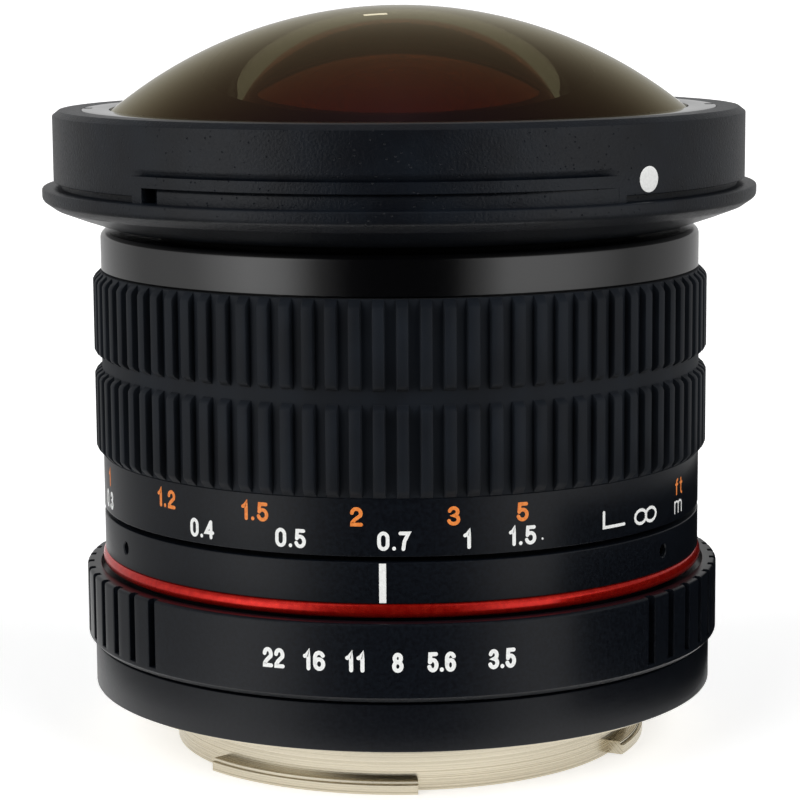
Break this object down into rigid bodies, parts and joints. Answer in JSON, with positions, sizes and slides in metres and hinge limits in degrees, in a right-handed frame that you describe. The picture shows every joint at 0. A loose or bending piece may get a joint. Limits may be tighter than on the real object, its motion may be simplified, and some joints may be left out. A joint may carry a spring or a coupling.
{
  "type": "fisheye camera lens",
  "caption": "Manual fisheye camera lens on a bayonet mount: domed front glass, ribbed focus ring, aperture ring, red bead, iris.",
  "frame": {"origin": "centre of the mount's seat face, on the optical axis", "axes": "+Z forward along the optical axis to the domed glass, -Y towards the index line, +X to the right of it"},
  "size_m": [0.0772, 0.0772, 0.0802],
  "materials": {
    "mount_metal": "nickel plated, satin turned",
    "black_anodised": "black anodised, satin",
    "satin_collar": "black anodised, smooth satin",
    "moulded_black": "fine matte grain",
    "grip_rubber": "matte",
    "seal_rubber": "matte",
    "red_enamel": "gloss enamel",
    "steel": "zinc plated",
    "black_screws": "blackened",
    "spring_steel": "polished",
    "blackened_steel": "blackened, matte",
    "key_brass": "plain",
    "front_glass": "coated, polished",
    "lens_glass": "coated, polished"
  },
  "bodies": {
    "barrel": {"mount_ring": "mount_metal", "mount_screws": "steel", "rear_baffle": "moulded_black", "rear_shell": "black_anodised", "guide_barrel": "black_anodised", "index_barrel": "black_anodised", "barrel_screws": "steel", "red_ring": "red_enamel", "set_screws": "black_screws", "guide_keys": "key_brass", "focus_stop_pin": "steel", "detent_ball": "steel", "detent_spring": "spring_steel"},
    "focus_ring": {"focus_sleeve": "black_anodised", "rubber_grip": "grip_rubber", "front_collar": "satin_collar"},
    "aperture_control": {"aperture_ring": "black_anodised", "aperture_fork": "black_anodised", "fork_screws": "steel"},
    "lens_cell": {"helicoid_barrel": "black_anodised", "front_ring": "moulded_black", "front_ring_screws": "steel", "front_element": "front_glass", "front_retainer": "black_anodised", "front_seal": "seal_rubber", "front_cell": "black_anodised", "cell_screws": "steel", "second_element": "lens_glass", "second_retainer": "black_anodised", "third_element": "lens_glass", "front_spacer": "black_anodised", "fourth_element": "lens_glass", "fifth_element": "lens_glass", "front_group_retainer": "black_anodised", "clamp_tube": "black_anodised", "iris_cover": "black_anodised", "iris_housing": "black_anodised", "rear_cell": "black_anodised", "rear_lock_ring": "black_anodised", "sixth_element": "lens_glass", "middle_spacer": "black_anodised", "seventh_element": "lens_glass", "eighth_element": "lens_glass", "rear_spacer": "black_anodised", "ninth_element": "lens_glass", "tenth_element": "lens_glass", "rear_retainer": "black_anodised"},
    "iris_cam": {"iris_rotor": "blackened_steel"},
    "blade_1": {"iris_blade_1": "blackened_steel"},
    "blade_2": {"iris_blade_2": "blackened_steel"},
    "blade_3": {"iris_blade_3": "blackened_steel"},
    "blade_4": {"iris_blade_4": "blackened_steel"},
    "blade_5": {"iris_blade_5": "blackened_steel"},
    "blade_6": {"iris_blade_6": "blackened_steel"}
  },
  "joints": [
    {"name": "focus_turn", "type": "hinge", "parent": "barrel", "child": "focus_ring", "pos_m": [0, 0, 0.03], "axis": [0, 0, 1], "range_deg": [-54.5, 69.1]},
    {"name": "focus_shift", "type": "slide", "parent": "barrel", "child": "lens_cell", "axis": [0, 0, 1], "range_m": [-0.0001104, 0.0001399]},
    {"name": "aperture_turn", "type": "hinge", "parent": "barrel", "child": "aperture_control", "pos_m": [0, 0, 0.01], "axis": [0, 0, 1], "range_deg": [-20.6, 17.75]},
    {"name": "iris_turn", "type": "hinge", "parent": "lens_cell", "child": "iris_cam", "pos_m": [0, 0, 0.0316], "axis": [0, 0, 1], "range_deg": [-20.6, 17.75]},
    {"name": "blade_swing_1", "type": "hinge", "parent": "lens_cell", "child": "blade_1", "pos_m": [0.014, 0, 0.03], "axis": [0, 0, 1], "range_deg": [-14.63, 12.61]},
    {"name": "blade_swing_2", "type": "hinge", "parent": "lens_cell", "child": "blade_2", "pos_m": [0.007, 0.01212, 0.03], "axis": [0, 0, 1], "range_deg": [-14.63, 12.61]},
    {"name": "blade_swing_3", "type": "hinge", "parent": "lens_cell", "child": "blade_3", "pos_m": [-0.007, 0.01212, 0.03], "axis": [0, 0, 1], "range_deg": [-14.63, 12.61]},
    {"name": "blade_swing_4", "type": "hinge", "parent": "lens_cell", "child": "blade_4", "pos_m": [-0.014, 0, 0.03], "axis": [0, 0, 1], "range_deg": [-14.63, 12.61]},
    {"name": "blade_swing_5", "type": "hinge", "parent": "lens_cell", "child": "blade_5", "pos_m": [-0.007, -0.01212, 0.03], "axis": [0, 0, 1], "range_deg": [-14.63, 12.61]},
    {"name": "blade_swing_6", "type": "hinge", "parent": "lens_cell", "child": "blade_6", "pos_m": [0.007, -0.01212, 0.03], "axis": [0, 0, 1], "range_deg": [-14.63, 12.61]}
  ],
  "couplings": [
    {"joint": "focus_shift", "follows": "focus_turn", "m_per_rad": 0.00011589},
    {"joint": "iris_turn", "follows": "aperture_turn", "ratio": 1},
    {"joint": "blade_swing_1", "follows": "aperture_turn", "ratio": 0.70992},
    {"joint": "blade_swing_2", "follows": "aperture_turn", "ratio": 0.70992},
    {"joint": "blade_swing_3", "follows": "aperture_turn", "ratio": 0.70992},
    {"joint": "blade_swing_4", "follows": "aperture_turn", "ratio": 0.70992},
    {"joint": "blade_swing_5", "follows": "aperture_turn", "ratio": 0.70992},
    {"joint": "blade_swing_6", "follows": "aperture_turn", "ratio": 0.70992}
  ]
}
